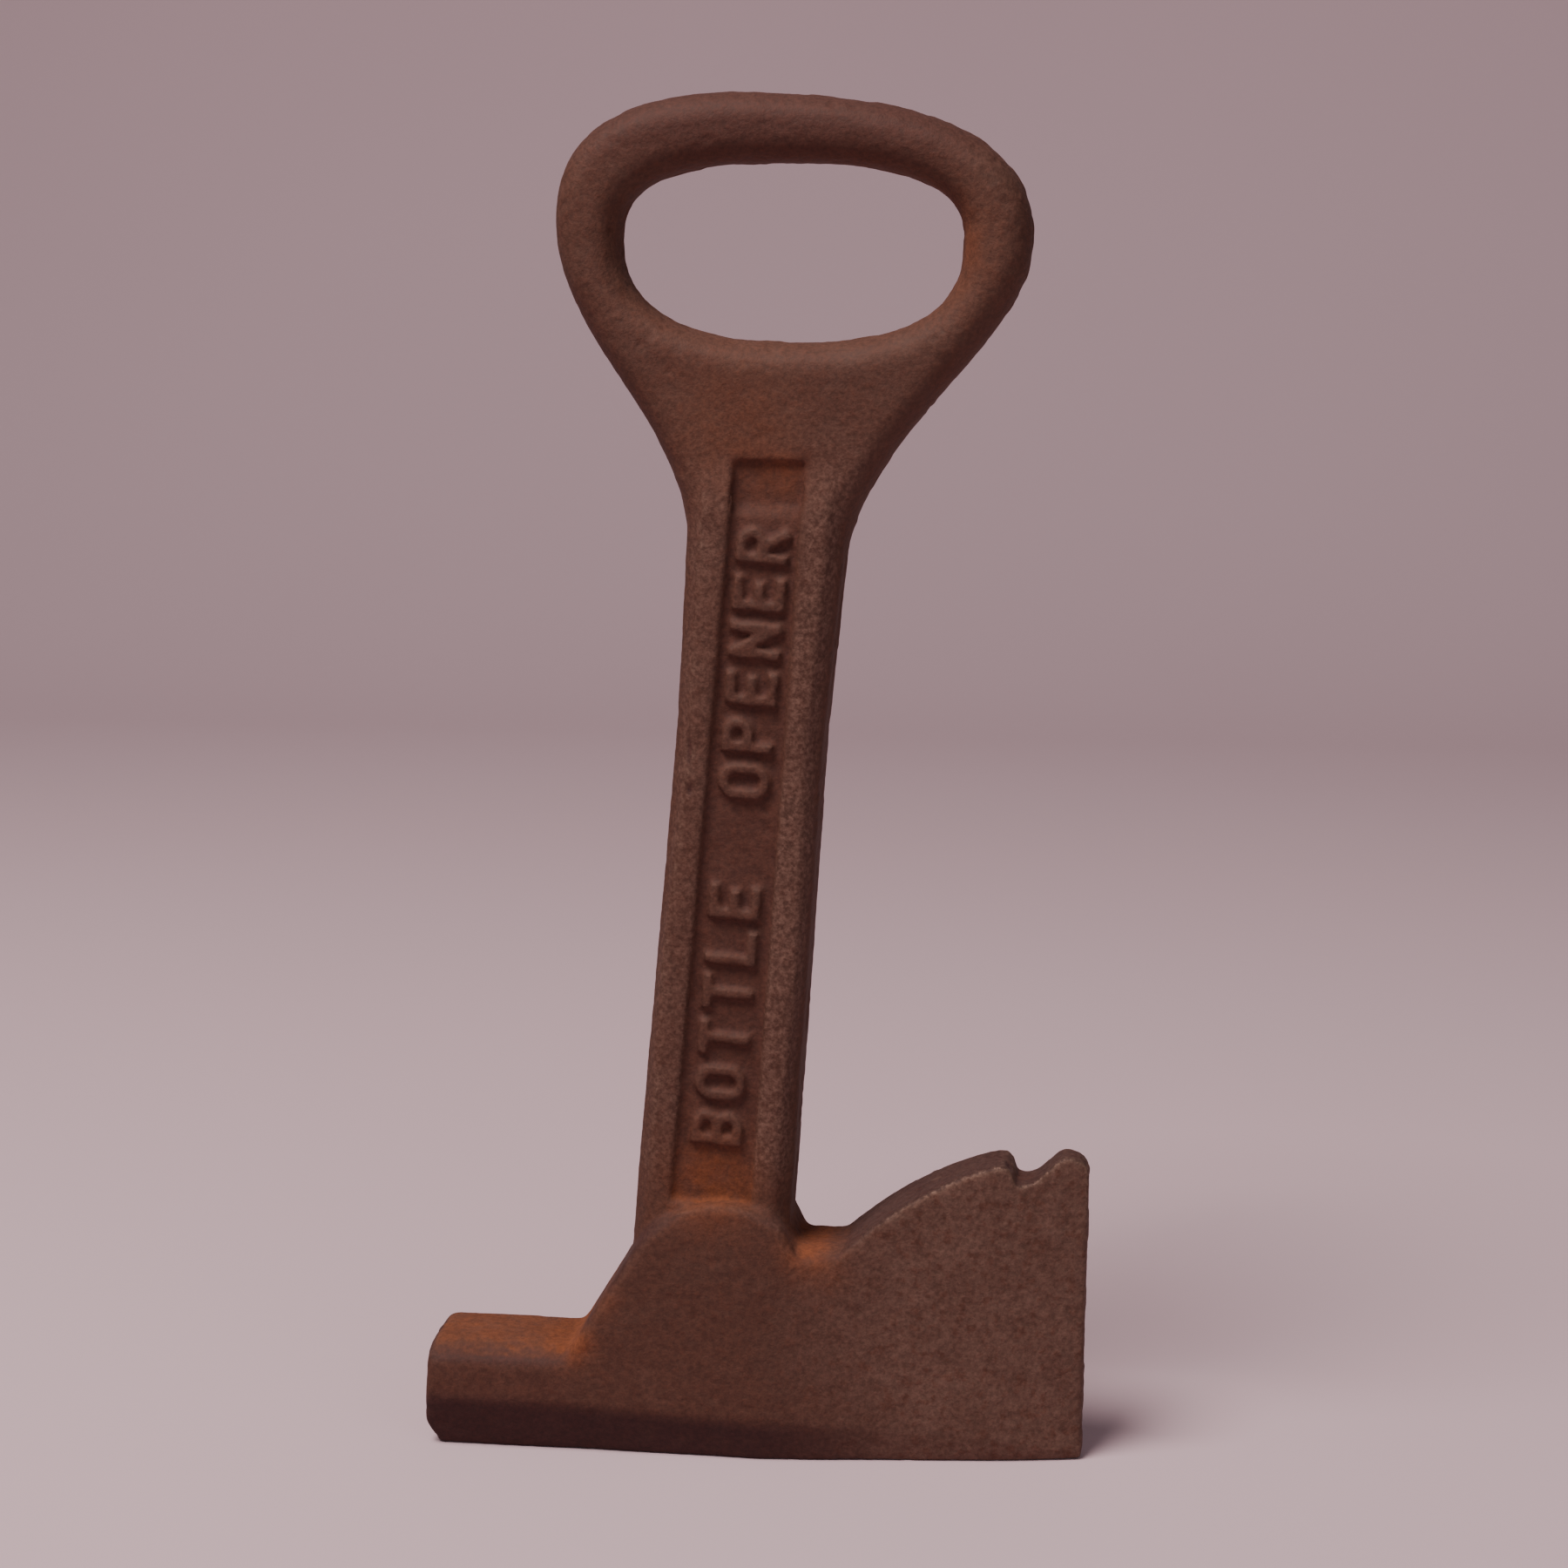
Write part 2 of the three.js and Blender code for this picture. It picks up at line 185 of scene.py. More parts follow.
# How much of each colour or effect a place gets.
AMOUNTS = {
    "rust clouds": 0.55,
    "blade grey": 0.8,
    "other grey": 0.2,
    "freckles": 0.35,
    "blade freckles": 0.25,
    "handled blade": 0.3,
    "handled rim": 0.42,
    "right rim more": 0.33,
    "dark panel": 0.35,
    "bloom": 1.1,
    "hollow rust": 0.25,
    "corner rust": 0.3,
    "panel corners": 0.75,
    "panel rust": 0.12,
    "poll top rust": 0.56,
    "poll rust": 0.14,
    # The next share is the ledge's rust and painted light.
    "standing rust": 0.3,
    # The dark band and the dark hollows are painted shade.
    "dark band": 0.78,
    "dark hollow": 0.4,
    "crown rust": 0.5,
    # The dark crown, slope, blade top and poll front are painted shade.
    "dark crown": 0.36,
    "dark blade top": 0.6,
    "dark slope": 0.5,
    "dark poll front": 0.2,
    "dark nick": 0.8,
    "unrubbed panel": 0.7,
    "rubbed edge": 0.4,
    # The crest's share is partly wear and partly a painted highlight.
    "rubbed crest": 1.2,
    "rough rust": 0.22,
    "smooth rub": 0.25,
    "rough specks": 0.25,
    "metal": 0.18,
    "metal blade": 0.18,
    "metal rub": 0.5,
    "rust on metal": 0.3,
}

# The fine relief's shares of each mottle, and how strongly shading shows it.
RELIEF = {"speck": 0.6, "freckle": 0.4, "blotch": 0.8}
BUMP_STRENGTH = 0.6

# Where damp has stood and rust blooms: place along X, place along Z, radius and strength.
RUST_BLOOMS = {
    "ledge": (44.8, 25.6, 3.2, 0.9),
    "valley": (46.8, 22.6, 2.6, 0.3),
    "cheek foot": (17.6, 13.4, 2.4, 1.0),
    "cheek slope": (20.2, 18.6, 2.4, 0.5),
    "panel foot": (33.6, 32.6, 5.0, 0.75),
    "panel top": (41.0, 112.5, 3.2, 0.4),
    "shoulder": (36.5, 117.5, 6.5, 0.3),
    "ring side": (58.8, 137.0, 5.2, 0.4),
}

# Knocks in the surface: place along X, Y and Z, half sizes along X and Z, and depth. Along Y
# they reach NICK_LENGTH times as far as along X.
NICK_LENGTH = 2.2
NICKS = {
    "rim": (31.1, -5.3, 82.0, 0.55, 2.6, 0.45),
    "rim foot": (31.2, -5.3, 77.6, 0.5, 1.0, 0.35),
    "blade lip": (66.6, -1.4, 34.6, 0.8, 0.7, 0.3),
    "edge": (75.7, 0.0, 12.0, 0.6, 1.6, 0.3),
}

# The stage. Lights: place, size across in metres and tint.
LIGHTS = {
    "key": ((-0.24, -0.3, 0.8), 0.4, (1.0, 0.95, 0.92)),
    "fill": ((0.55, -0.55, 0.2), 0.7, (0.93, 0.95, 1.0)),
}
SKY_TINT = (0.86, 0.84, 0.9, 1)
FLOOR_PATCH = 0.2
FLOOR_UNEVENNESS = 0.2
FLOOR_ROUGHNESS = 0.9
NEAREST = 0.01


def linear(red, green, blue):
    """A display colour, 0 to 255, as the linear colour that Blender keeps."""
    shares = (c / 255 for c in (red, green, blue))
    return tuple(s / 12.92 if s <= 0.04045 else ((s + 0.055) / 1.055) ** 2.4 for s in shares)


def colour(name, description, rgb):
    return FloatVectorProperty(
        name=name, description=description, subtype="COLOR", size=3, min=0, max=1,
        default=linear(*rgb),
    )


def length(name, description, millimetres, low=0.0, high=0.05):
    return FloatProperty(
        name=name, description=description, subtype="DISTANCE", unit="LENGTH",
        default=millimetres * MM, min=low, max=high, precision=5,
    )


def share(name, description, default):
    return FloatProperty(
        name=name, description=description, subtype="FACTOR", default=default, min=0, max=1
    )


class CastSkin(bpy.types.PropertyGroup):
    """Sizes of the sand-cast surface."""

    cell: length("Cell", "Size of the cells that the skin is made of", 0.28)
    softening: IntProperty(
        name="Softening", description="Rounds of smoothing over every edge", default=4, min=0
    )
    rounding: IntProperty(
        name="Rounding", description="More rounds away from the letters and the notch",
        default=8, min=0,
    )
    wearing: IntProperty(
        name="Wearing", description="More rounds on the poll and round the dome", default=26, min=0
    )
    wave: length("Wave height", "Height of the broad unevenness of the faces", 0.1)
    wave_size: length("Wave size", "Distance across one wave", 9.0)
    grain: length("Grain height", "Height of the sand grain", 0.08)
    grain_size: length("Grain size", "Distance across one grain", 1.1)
    pit: length("Pit depth", "Depth of the rust pits", 0.1)
    pit_size: length("Pit spacing", "Distance between rust pits", 1.9)
    flash: length("Parting line", "Height of the fin left where the mould halves met", 0.13)
    flash_width: length("Parting line width", "Width of that fin", 0.8)
    recess: length("Panel recess", "Extra depth of the panel's upper end", 0.55)
    seed: IntProperty(name="Seed", description="Changes where the pits and grains fall", default=4)
    triangles: IntProperty(
        name="Triangles", description="Most triangles in the finished skin", default=195000
    )


class RustedIron(bpy.types.PropertyGroup):
    """Colours and gloss of the old iron."""

    iron: colour("Iron", "Brown patina that covers most of the casting", (75, 48, 39))
    grey: colour("Worn grey", "Grey-brown of the handled blade", (100, 73, 63))
    rust: colour("Rust", "Red-brown rust freckles", (80, 45, 34))
    bloom: colour("Rust bloom", "Orange rust in corners and on ledges", (99, 53, 32))
    # The brightest orange is rust, and on the ledge's upward face also painted light.
    fresh_rust_and_light: colour("Fresh rust", "Brightest rust, where damp stands on ledges", (140, 76, 46))
    # This dark colour is scale and dark nicks, and also the painted shade along the foot, in
    # hollows, on the crown, slopes, blade top and poll front.
    dark: colour("Dark scale", "Purple-black scale on undersides", (51, 27, 28))
    # This light colour is worn iron, and on the blade's crest and the left rim also a painted
    # highlight.
    bare_and_highlight: colour("Rubbed edge", "Iron rubbed light along its edges", (112, 88, 76))
    roughness: share("Roughness", "Roughness of the patina", 0.74)
    # How far the edges go light: wear, and on the crests also painted highlight.
    rub_and_highlight: share("Rubbed", "How far the edges are rubbed light", 0.4)
    specular: share("Specular", "Strength of the surface's own reflection", 0.25)
    relief: length("Fine relief", "Height of the finest grain, added by shading", 0.24)


class Stage(bpy.types.PropertyGroup):
    """Camera, lights and floor."""

    azimuth: FloatProperty(
        name="Azimuth", description="Turn of the camera round the opener", subtype="ANGLE",
        default=math.radians(7.0),
    )
    elevation: FloatProperty(
        name="Elevation", description="Height of the camera above the horizon",
        subtype="ANGLE", default=math.radians(10.32),
    )
    distance: length("Distance", "From the camera to its target", 345.0, high=5.0)
    target_x: length("Target X", "Where the camera looks, along X", 3.19, low=-1.0, high=1.0)
    target_z: length("Target Z", "Where the camera looks, along Z", 77.52, low=-1.0, high=1.0)
    lens: FloatProperty(
        name="Lens", description="Focal length", subtype="DISTANCE_CAMERA", unit="CAMERA",
        default=71.0,
    )
    floor: colour("Floor", "Pale floor under the opener", (188, 160, 166))
    # The backdrop colour is painted shade: the same pale cloth, darker far behind.
    backdrop: colour("Backdrop", "The floor's colour far behind the opener", (171, 145, 151))
    key: FloatProperty(
        name="Key light", description="Soft light, upper left", unit="POWER", default=12.0
    )
    fill: FloatProperty(
        name="Fill light", description="Weak light, front right", unit="POWER", default=1.6
    )
    sky: FloatProperty(name="Sky", description="Even light from all round", default=0.22, min=0)


class Field:
    """A node socket that takes arithmetic: each operator adds a Math node to its tree."""

    def __init__(self, graph, socket):
        self.graph = graph
        self.socket = socket

    def _math(self, operation, *values, clamp=False):
        settings = {"operation": operation, "use_clamp": clamp}
        return self.graph.node("ShaderNodeMath", settings, dict(enumerate(values)))

    def __add__(self, other):
        return self._math("ADD", self, other)

    def __sub__(self, other):
        return self._math("SUBTRACT", self, other)

    def __rsub__(self, other):
        return self._math("SUBTRACT", other, self)

    def __mul__(self, other):
        return self._math("MULTIPLY", self, other)

    def __truediv__(self, other):
        return self._math("DIVIDE", self, other)

    def __rtruediv__(self, other):
        return self._math("DIVIDE", other, self)

    def __abs__(self):
        return self._math("ABSOLUTE", self)

    __radd__ = __add__
    __rmul__ = __mul__

    def limited(self):
        return self._math("ADD", self, 0.0, clamp=True)

    def rise(self, start, end, low=0.0, high=1.0):
        """A smooth step from low, at start, to high, at end."""
        settings = {"interpolation_type": "SMOOTHSTEP"}
        return self.graph.node(
            "ShaderNodeMapRange", settings, {0: self, 1: start, 2: end, 3: low, 4: high}
        )


class Graph:
    """Adds nodes to a tree: a node's settings first, then its sockets."""

    def __init__(self, tree):
        self.tree = tree

    def node(self, kind, settings=None, inputs=None, out=0):
        made = self.tree.nodes.new(kind)
        for name, value in (settings or {}).items():
            setattr(made, name, value)
        for key, value in (inputs or {}).items():
            if isinstance(value, Field):
                self.tree.links.new(value.socket, made.inputs[key])
            else:
                made.inputs[key].default_value = value
        return Field(self, made.outputs[out]) if made.outputs else made

    def noise(self, place, size, detail=3.0, rough=0.55, shift=0.0):
        """Noise about 0.5 with lumps of that size; shift picks another part of it."""
        moved = self.node(
            "ShaderNodeVectorMath", {"operation": "ADD"}, {0: place, 1: (shift, shift / 2, -shift)}
        )
        sockets = {"Vector": moved, "Scale": 1 / size, "Detail": detail, "Roughness": rough}
        return self.node("ShaderNodeTexNoise", {"noise_dimensions": "3D"}, sockets)

    def mix(self, factor, first, second, mode="MIX"):
        """Colour that goes from first to second as factor goes from 0 to 1."""
        settings = {"data_type": "RGBA", "blend_type": mode, "clamp_factor": True}
        return self.node("ShaderNodeMix", settings, {0: factor, 6: first, 7: second}, out=2)

    def split(self, vector):
        """The X, Y and Z of a vector."""
        made = self.tree.nodes.new("ShaderNodeSeparateXYZ")
        self.tree.links.new(vector.socket, made.inputs[0])
        return [Field(self, made.outputs[i]) for i in range(3)]


def merged_copy(name):
    """A new object with the CAD node's shape as one joined skin."""
    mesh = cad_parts[name].data.copy()
    shell = bmesh.new()
    shell.from_mesh(mesh)
    bmesh.ops.remove_doubles(shell, verts=shell.verts, dist=MM / 1000)
    shell.to_mesh(mesh)
    shell.free()
    mesh.materials.clear()
    made = bpy.data.objects.new("cast_opener", mesh)
    bpy.context.scene.collection.objects.link(made)
    return made


def bake_modifiers(piece):
    """Makes the piece's modifiers part of its mesh."""
    graph = bpy.context.evaluated_depsgraph_get()
    graph.update()
    mesh = bpy.data.meshes.new_from_object(piece.evaluated_get(graph))
    piece.modifiers.clear()
    piece.data = mesh
    mesh.name = piece.name


def corners(mesh):
    flat = np.empty(len(mesh.vertices) * 3)
    mesh.vertices.foreach_get("co", flat)
    return flat.reshape(-1, 3)


def normals(mesh):
    flat = np.empty(len(mesh.vertices) * 3)
    mesh.vertices.foreach_get("normal", flat)
    return flat.reshape(-1, 3)


def neighbour_mean(mesh):
    """A function that replaces each vertex's values by the mean of its neighbours'."""
    pairs = np.empty(len(mesh.edges) * 2, int)
    mesh.edges.foreach_get("vertices", pairs)
    pairs = pairs.reshape(-1, 2)
    start = np.concatenate([pairs[:, 0], pairs[:, 1]])
    end = np.concatenate([pairs[:, 1], pairs[:, 0]])
    count = len(mesh.vertices)
    share_of = np.maximum(np.bincount(start, minlength=count), 1)

    def mean(values):
        columns = [np.bincount(start, weights=column[end], minlength=count) for column in values.T]
        return np.stack(columns, axis=1) / share_of[:, None]

    return mean


def smooth_step(values, start, end):
    """0 before start and 1 after end, smooth between them."""
    t = np.clip((values - start) / (end - start), 0, 1)
    return t * t * (3 - 2 * t)


def zone(values, name):
    """0 before a named zone and 1 in it, for an array or a field of places in metres."""
    start, end = (place * MM for place in ZONES[name])
    if isinstance(values, Field):
        return values.rise(start, end)
    return smooth_step(values, start, end)


def along_shaft(points):
    """Distances across and along the shaft's leaning axis."""
    run = points[:, 0] - LOW.x - SHAFT_FOOT * MM
    stand = points[:, 2] - LOW.z
    across = run * math.cos(SHAFT_LEAN) - stand * math.sin(SHAFT_LEAN)
    return across, stand


def soften(mesh, skin):
    """Rounds every edge a little, the plain parts more and the worn parts of the head most."""
    points = corners(mesh)
    across, stand = along_shaft(points)
    run = points[:, 0] - LOW.x
    worded = zone(np.abs(across), "letters across") * (points[:, 1] < LETTER_FACE * MM)
    worded *= (stand > PANEL_FOOT * MM) & (stand < PANEL_TOP * MM)
    notched = zone(run, "notch along") * zone(stand, "notch up") * (stand < HORN_TOP * MM)
    kept = np.maximum(worded, notched)
    poll = zone(run, "smooth poll along") * zone(stand, "smooth poll up")
    dome = zone(run, "smooth dome along") * zone(run, "smooth dome end")
    dome *= zone(stand, "smooth dome up") * zone(stand, "smooth dome top")
    worn = np.maximum(poll, DOME_WEAR * dome)
    mean = neighbour_mean(mesh)
    for rounds, weight in (
        (skin.softening, np.ones(len(points))),
        (skin.rounding, 1 - kept),
        (skin.wearing, worn * (1 - kept)),
    ):
        for _ in range(rounds):
            points = points + SMOOTHING * weight[:, None] * (mean(points) - points)
    mesh.vertices.foreach_set("co", points.ravel())
    mesh.update()


def nicked(points):
    """How far into each nick a point lies, 0 to 1, and how deep that nick is."""
    for x, y, z, wide, high, deep in NICKS.values():
        place = np.array([LOW.x + x * MM, y * MM, LOW.z + z * MM])
        reach = np.array([wide, NICK_LENGTH * wide, high]) * MM
        away = np.linalg.norm((points - place) / reach, axis=1)
        yield smooth_step(-away, -1, 0), deep * MM


def knock(mesh, skin):
    """Presses in the nicks and the deep upper end of the panel."""
    points = corners(mesh)
    outward = normals(mesh)
    across, stand = along_shaft(points)
    recess = zone(np.abs(across), "recess across") * skin.recess
    recess *= zone(stand, "recess foot") * zone(stand, "recess top")
    recess *= smooth_step(-outward[:, 1], *FACINGS["recess"])
    for share_in, deep in nicked(points):
        recess += share_in * deep
    points -= outward * recess[:, None]
    mesh.vertices.foreach_set("co", points.ravel())
    mesh.update()


def write_attribute(mesh, name, values):
    made = mesh.attributes.new(name, "FLOAT", "POINT")
    made.data.foreach_set("value", np.asarray(values, np.float32))


def mark_skin(mesh):
    """Writes how hollow, how exposed and how rusted the skin is, as the finish reads them."""
    points = corners(mesh)
    outward = normals(mesh)
    mean = neighbour_mean(mesh)
    wanted = {rounds for rounds, *_ in BENDS.values()}
    smoothed = points
    after = {}
    for rounds in range(1, max(wanted) + 1):
        smoothed = (1 - SMOOTHING) * smoothed + SMOOTHING * mean(smoothed)
        if rounds in wanted:
            after[rounds] = smoothed
    for name, (rounds, sign, start, full) in BENDS.items():
        hollow = np.einsum("ij,ij->i", after[rounds] - points, outward)
        write_attribute(mesh, name, smooth_step(sign * hollow, start * MM, full * MM))
    rusted = np.zeros(len(points))
    for x, z, radius, strength in RUST_BLOOMS.values():
        place = np.array([LOW.x + x * MM, LOW.z + z * MM])
        away = np.linalg.norm(points[:, [0, 2]] - place, axis=1) / (radius * MM)
        rusted = np.maximum(rusted, strength * np.exp(-(away**2)))
    write_attribute(mesh, "bloom", rusted)
    write_attribute(mesh, "nick", np.max([share_in for share_in, _ in nicked(points)], axis=0))


def skin_inputs(skin, material):
    """The tree's named inputs: the kind of each socket, and its value."""
    size, whole = "NodeSocketFloat", "NodeSocketInt"
    return {
        "Wave Height": (size, skin.wave),
        "Wave Size": (size, skin.wave_size),
        "Grain Height": (size, skin.grain),
        "Grain Size": (size, skin.grain_size),
        "Pit Depth": (size, skin.pit),
        "Pit Spacing": (size, skin.pit_size),
        "Parting Line Height": (size, skin.flash),
        "Parting Line Width": (size, skin.flash_width),
        "Seed": (whole, skin.seed),
        "Material": ("NodeSocketMaterial", material),
    }


def cast_skin_tree(inputs):
    """Geometry Nodes that roughen a smooth casting: waves, sand grain, pits and a parting line."""
    tree = bpy.data.node_groups.new("cast_skin", "GeometryNodeTree")
    face = tree.interface
    face.new_socket("Geometry", in_out="INPUT", socket_type="NodeSocketGeometry")
    for name, (kind, _) in inputs.items():
        face.new_socket(name, in_out="INPUT", socket_type=kind)
    face.new_socket("Geometry", in_out="OUTPUT", socket_type="NodeSocketGeometry")
    graph = Graph(tree)
    given = tree.nodes.new("NodeGroupInput")
    read = {s.name: Field(graph, s) for s in given.outputs if s.name}
    place = graph.node("GeometryNodeInputPosition")
    normal = graph.node("GeometryNodeInputNormal")
    shift = read["Seed"] * SEED_STEP
    moved = graph.node(
        "ShaderNodeVectorMath", {"operation": "ADD"},
        {0: place, 1: graph.node("ShaderNodeCombineXYZ", {}, {0: shift, 1: shift, 2: shift})},
    )

    def lumps(spacing, detail):
        """Noise from about -0.5 to 0.5 with lumps of that spacing."""
        sockets = {"Vector": moved, "Scale": 1.0 / spacing, "Detail": detail}
        return graph.node("ShaderNodeTexNoise", {}, sockets) - 0.5

    _, across, _ = graph.split(place)
    _, facing, _ = graph.split(normal)
    wave = lumps(read["Wave Size"], 1.0) * read["Wave Height"] * 2.0
    grain = lumps(read["Grain Size"], 2.5) * read["Grain Height"] * 2.0
    cell = graph.node(
        "ShaderNodeTexVoronoi", {}, {"Vector": moved, "Scale": 1.0 / read["Pit Spacing"]}
    )
    pitted = lumps(read["Wave Size"] * PIT_PATCH, 2.0).rise(*FADES["pit patches"])
    pit = cell.rise(*FADES["pit"]) * pitted * read["Pit Depth"]
    width = read["Parting Line Width"]
    fin = abs(across).rise(width * 0.5, width * FIN_CREST) * abs(facing).rise(*FADES["fin side"])
    fin = fin * lumps(read["Wave Size"] * FIN_PATCH, 2.0).rise(*FADES["fin patches"])
    lift = wave + grain - pit + fin * read["Parting Line Height"]
    offset = graph.node("ShaderNodeVectorMath", {"operation": "SCALE"}, {0: normal, "Scale": lift})
    skin_set = graph.node(
        "GeometryNodeSetPosition", {}, {"Geometry": read["Geometry"], "Offset": offset}
    )
    plain = graph.node("GeometryNodeRealizeInstances", {}, {"Geometry": skin_set})
    painted = graph.node(
        "GeometryNodeSetMaterial", {}, {"Geometry": plain, "Material": read["Material"]}
    )
    graph.node("NodeGroupOutput", {}, {"Geometry": painted})
    return tree


def rusted_iron(finish):
    """Brown patina on cast iron: grey where handled, orange in corners, worn light on its edges,
    with painted shade low down, in hollows and on slopes, painted light on the ledge and painted
    highlights on crests.
    """
    material = bpy.data.materials.new("rusted_cast_iron")
    material.use_nodes = True
    material.node_tree.nodes.clear()
    graph = Graph(material.node_tree)
    place = graph.node("ShaderNodeTexCoord", {}, {}, out=3)
    x, y, z = graph.split(place)
    _, _, up = graph.split(graph.node("ShaderNodeNewGeometry", {}, {}, out=1))

    def marked(name):
        return graph.node("ShaderNodeAttribute", {"attribute_name": name}, {}, out=2)

    names = ("hollow", "corner", "ridge", "bloom", "nick")
    hollow, corner, ridge, bloom, nick = (marked(name) for name in names)
    iron, grey, rust, orange, fresh_rust_and_light, dark, bare_and_highlight = (
        (*tint, 1) for tint in (finish.iron, finish.grey, finish.rust, finish.bloom,
                                finish.fresh_rust_and_light, finish.dark, finish.bare_and_highlight)
    )

    def facing(name):
        return up.rise(*FACINGS[name])

    # Places on the casting.
    run = x - LOW.x
    stand = z - LOW.z
    side = (run - SHAFT_FOOT * MM) * math.cos(SHAFT_LEAN) - stand * math.sin(SHAFT_LEAN)
    panel = zone(abs(side), "panel across") * zone(stand, "panel foot") * zone(stand, "panel top")
    sunk = panel * zone(y, "sunk face") * zone(y, "front face")
    blade = zone(run, "blade along") * zone(stand, "blade up")
    head = zone(stand, "head up")
    poll = zone(run, "poll along") * head
    ring_x = (run - OPENING_X * MM) / (OPENING_HALF_WIDTH * MM)
    ring_z = (stand - OPENING_Z * MM) / (OPENING_HALF_HEIGHT * MM)
    inside = (ring_x * ring_x + ring_z * ring_z).rise(*FADES["inside ring"])
    inside = inside * zone(stand, "ring up")
    crown = zone(stand, "crown up")
    # Painted shade: a dark band along the foot, higher at the poll.
    band = run.rise(0.0, BAND_LENGTH * MM, *(height * MM for height in BAND_HEIGHTS))
    under = zone(stand - band, "band edge") * zone(run, "band end")
    rim = (1 - panel) * zone(stand, "rim foot") * zone(stand, "rim top") * zone(y, "rim face")
    slope = head * (1 - blade) * facing("slope") * facing("slope top") * (1 - bloom)
    # The blade's crest and the left rim get extra light: partly wear, partly a painted highlight.
    crest = blade * zone(stand, "blade crest") + rim * zone(side, "left rim")

    cloud, blotch, speck, freckle = (
        graph.noise(place, size * MM, *pattern) for size, *pattern in MOTTLES.values()
    )

    # Patina, grey where the iron is handled.
    base = graph.mix(cloud.rise(*FADES["rust clouds"]) * AMOUNTS["rust clouds"], iron, rust)
    grey_blade = blade * blotch.rise(*FADES["blade grey"]) * AMOUNTS["blade grey"]
    grey_rest = cloud.rise(*FADES["other grey"]) * (1 - blade) * AMOUNTS["other grey"]
    base = graph.mix(grey_blade + grey_rest, base, grey)
    freckled = blade * AMOUNTS["blade freckles"] + AMOUNTS["freckles"]
    base = graph.mix(freckle.rise(*FADES["freckles"]) * freckled, base, rust)
    handled_rim = zone(side, "right rim") * AMOUNTS["right rim more"] + AMOUNTS["handled rim"]
    handled = rim * handled_rim + blade * AMOUNTS["handled blade"]
    base = graph.mix(handled * speck.rise(*FADES["handled"]), base, grey)
    base = graph.mix(sunk * AMOUNTS["dark panel"], base, dark)

    # Rust in the corners and where damp stands, and on the ledge's upward face painted light as
    # well as rust.
    cornered = hollow * AMOUNTS["hollow rust"] + corner * AMOUNTS["corner rust"]
    rusting = bloom * AMOUNTS["bloom"] + cornered * (1 - panel * AMOUNTS["panel corners"])
    rusting = rusting + sunk * AMOUNTS["panel rust"] + poll * AMOUNTS["poll rust"]
    rusting = rusting + poll * facing("poll top") * AMOUNTS["poll top rust"]
    rusting = rusting + inside * ring_x.rise(*FADES["ring rust"])
    rusting = (rusting * blotch.rise(*FADES["rust patches"])).limited()
    base = graph.mix(rusting, base, orange)
    # Painted light and rust: the ledge's upward face is made brighter orange.
    standing_rust_and_light = bloom.rise(*FADES["standing rust"]) * facing("ledge") * AMOUNTS["standing rust"]
    base = graph.mix(standing_rust_and_light, base, fresh_rust_and_light)

    # Painted shade along the foot, in hollows, on the ring's crown, on upward slopes, on the
    # blade's top and on the poll's front, with rust on the crown and dark nicks.
    banded = under * blotch.rise(*FADES["band patches"]) * AMOUNTS["dark band"]
    base = graph.mix(banded, base, dark)
    # Painted shade in the hollows, where the rust leaves them.
    base = graph.mix(hollow * (1 - rusting) * AMOUNTS["dark hollow"], base, dark)
    base = graph.mix(crown * AMOUNTS["crown rust"], base, rust)
    # Painted shade: darker on the ring's crown, on upward slopes of the head, on the blade's top
    # and on the poll's front.
    shadowed = crown * AMOUNTS["dark crown"] + slope * AMOUNTS["dark slope"]
    shadowed = shadowed + blade * facing("blade top") * AMOUNTS["dark blade top"]
    shadowed = shadowed + poll * facing("poll front") * AMOUNTS["dark poll front"]
    base = graph.mix(shadowed, base, dark)
    base = graph.mix(nick * AMOUNTS["dark nick"], base, dark)

    # Edges worn light along their ridges, more on the blade's crest and the left rim where the
    # light part is also a painted highlight, and the specks of the whole surface.
    rubbed_and_highlit = ridge * speck.rise(*FADES["rubbed_and_highlit"]) * (1 - under)
    rubbed_and_highlit = rubbed_and_highlit * (1 - panel * AMOUNTS["unrubbed panel"])
    rubbed_and_highlit = rubbed_and_highlit * (crest * AMOUNTS["rubbed crest"] + AMOUNTS["rubbed edge"]) * finish.rub_and_highlight
    base = graph.mix(rubbed_and_highlit, base, bare_and_highlight)
    shade = speck.rise(*FADES["speck shade"]) * cloud.rise(*FADES["cloud shade"])
    tone = graph.node("ShaderNodeCombineColor", {}, {0: shade, 1: shade, 2: shade})
    base = graph.mix(1.0, base, tone, "MULTIPLY")

    rough = rusting * AMOUNTS["rough rust"] - rubbed_and_highlit * AMOUNTS["smooth rub"] + finish.roughness
    rough = rough + (speck - 0.5) * AMOUNTS["rough specks"]
    metal = blade * AMOUNTS["metal blade"] + rubbed_and_highlit * AMOUNTS["metal rub"] + AMOUNTS["metal"]
    metal = (metal - rusting * AMOUNTS["rust on metal"]).limited()
    relief = speck * RELIEF["speck"] + freckle * RELIEF["freckle"] + blotch * RELIEF["blotch"]
    bump = graph.node(
        "ShaderNodeBump", {},
        {"Strength": BUMP_STRENGTH, "Distance": finish.relief, "Height": relief},
    )
    shader = graph.node(
        "ShaderNodeBsdfPrincipled", {},
        {"Base Color": base, "Roughness": rough, "Metallic": metal, "Normal": bump,
         "Specular IOR Level": finish.specular},
    )
    graph.node("ShaderNodeOutputMaterial", {}, {"Surface": shader})
    return material


